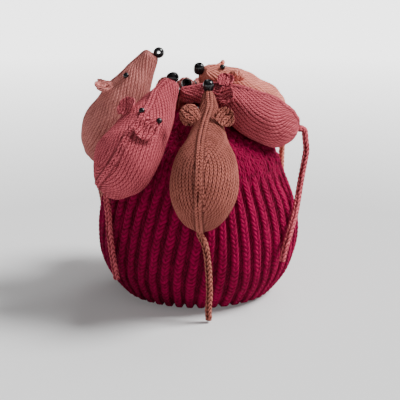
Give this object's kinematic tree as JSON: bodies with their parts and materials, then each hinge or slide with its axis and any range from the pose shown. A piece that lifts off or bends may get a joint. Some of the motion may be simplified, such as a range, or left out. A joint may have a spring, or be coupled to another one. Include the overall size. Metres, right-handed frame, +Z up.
{
  "type": "tea cosy",
  "caption": "Ribbed knitted dome cover for a round teapot, slit at both sides for spout and handle, with a heap of stuffed knitted mice lying snouts together on its crown.",
  "frame": {"origin": "centre of the part's footprint without the tails, at the level of the hem", "axes": "+X towards the handle slit, +Y towards the back half, +Z up"},
  "size_m": [0.1796, 0.2105, 0.1942],
  "materials": {
    "crimson_wool": "ribbed and plain wool knit, matt, slightly fuzzy",
    "rose_wool": "fine wool knit, matt, slightly fuzzy",
    "tan_wool": "fine wool knit, matt, slightly fuzzy",
    "blush_wool": "fine wool knit, matt, slightly fuzzy",
    "peach_wool": "fine wool knit, matt, slightly fuzzy",
    "dusty_wool": "fine wool knit, matt, slightly fuzzy",
    "black_glass": "glossy black glass beads"
  },
  "bodies": {
    "root": {"cosy_front": "crimson_wool", "cosy_back": "crimson_wool", "mouse_left_back_body": "blush_wool", "mouse_left_back_ear_left": "blush_wool", "mouse_left_back_ear_right": "blush_wool", "mouse_left_back_nose_bead": "black_glass", "mouse_left_back_eye_left": "black_glass", "mouse_left_back_eye_right": "black_glass", "mouse_left_back_tail": "blush_wool", "mouse_left_front_body": "rose_wool", "mouse_left_front_ear_left": "rose_wool", "mouse_left_front_ear_right": "rose_wool", "mouse_left_front_nose_bead": "black_glass", "mouse_left_front_eye_left": "black_glass", "mouse_left_front_eye_right": "black_glass", "mouse_left_front_tail": "rose_wool", "mouse_front_body": "tan_wool", "mouse_front_ear_left": "tan_wool", "mouse_front_ear_right": "tan_wool", "mouse_front_nose_bead": "black_glass", "mouse_front_eye_left": "black_glass", "mouse_front_eye_right": "black_glass", "mouse_front_tail": "tan_wool", "mouse_right_front_body": "rose_wool", "mouse_right_front_ear_left": "rose_wool", "mouse_right_front_ear_right": "rose_wool", "mouse_right_front_nose_bead": "black_glass", "mouse_right_front_eye_left": "black_glass", "mouse_right_front_eye_right": "black_glass", "mouse_right_front_tail": "rose_wool", "mouse_right_back_body": "peach_wool", "mouse_right_back_ear_left": "peach_wool", "mouse_right_back_ear_right": "peach_wool", "mouse_right_back_nose_bead": "black_glass", "mouse_right_back_eye_left": "black_glass", "mouse_right_back_eye_right": "black_glass", "mouse_right_back_tail": "peach_wool", "mouse_back_body": "dusty_wool", "mouse_back_ear_left": "dusty_wool", "mouse_back_ear_right": "dusty_wool", "mouse_back_nose_bead": "black_glass", "mouse_back_eye_left": "black_glass", "mouse_back_eye_right": "black_glass", "mouse_back_tail": "dusty_wool"}
  },
  "joints": []
}
